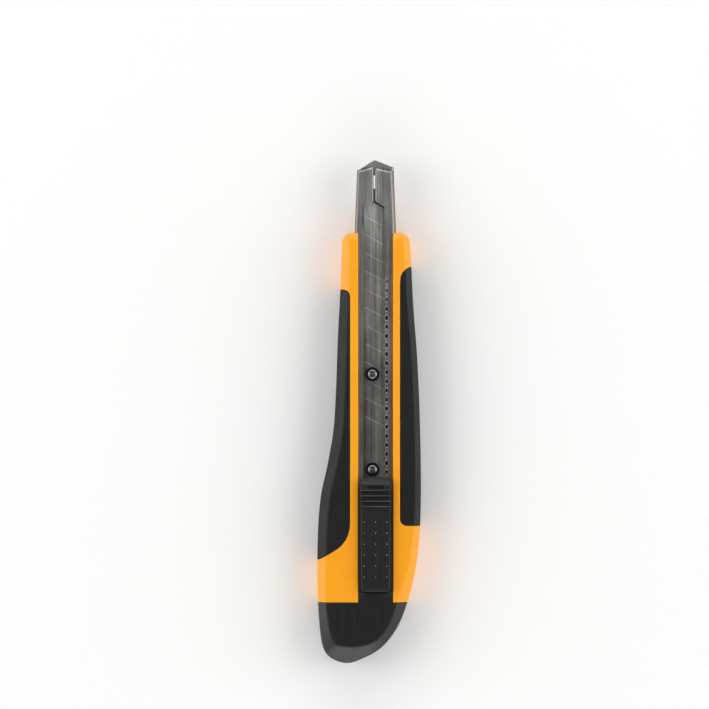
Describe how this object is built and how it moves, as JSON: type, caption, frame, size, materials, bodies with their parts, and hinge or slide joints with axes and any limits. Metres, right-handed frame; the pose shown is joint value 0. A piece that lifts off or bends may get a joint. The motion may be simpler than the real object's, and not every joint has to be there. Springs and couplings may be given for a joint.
{
  "type": "utility knife",
  "caption": "Snap-off utility knife: a slotted steel blade channel, a locking thumb slider, a moulded handle with rubber side grips and a pull-off end cap.",
  "frame": {"origin": "centre of the bounding box's bottom face: the knife lies on its flat back", "axes": "+Y along the knife towards the blade's tip, +Z out of the front face where the slider is, +X towards the spine side"},
  "size_m": [0.0286, 0.1387, 0.015],
  "materials": {
    "yellow_plastic": "moulded, satin gloss",
    "grip_rubber": "fine matt texture",
    "channel_steel": "rolled sheet, satin",
    "blade_steel": "ground, oiled",
    "stud_steel": "blackened, polished dome",
    "slider_plastic": "moulded, matt",
    "cap_plastic": "moulded, satin"
  },
  "bodies": {
    "handle": {"handle_shell": "yellow_plastic", "left_grip": "grip_rubber", "right_grip": "grip_rubber", "blade_channel": "channel_steel", "channel_rivets": "stud_steel"},
    "slider": {"slider_block": "slider_plastic", "blade_carrier": "channel_steel", "carrier_rivets": "stud_steel", "front_stud": "stud_steel", "rear_stud": "stud_steel", "blade": "blade_steel", "lock_spring": "blade_steel", "spring_rivet": "stud_steel"},
    "button": {"thumb_button": "slider_plastic"},
    "cap": {"end_cap": "cap_plastic"}
  },
  "joints": [
    {"name": "slider_travel", "type": "slide", "parent": "handle", "child": "slider", "axis": [0, 1, 0], "range_m": [0, 0.045], "deforming": ["lock_spring"]},
    {"name": "button_press", "type": "slide", "parent": "slider", "child": "button", "axis": [0, 0, -1], "range_m": [0, 0.0006], "stiffness_N_per_m": 1500, "springref_m": -0.0003, "deforming": ["lock_spring"]},
    {"name": "cap_pull", "type": "slide", "parent": "handle", "child": "cap", "axis": [0, -1, 0], "range_m": [0, 0.015]}
  ]
}
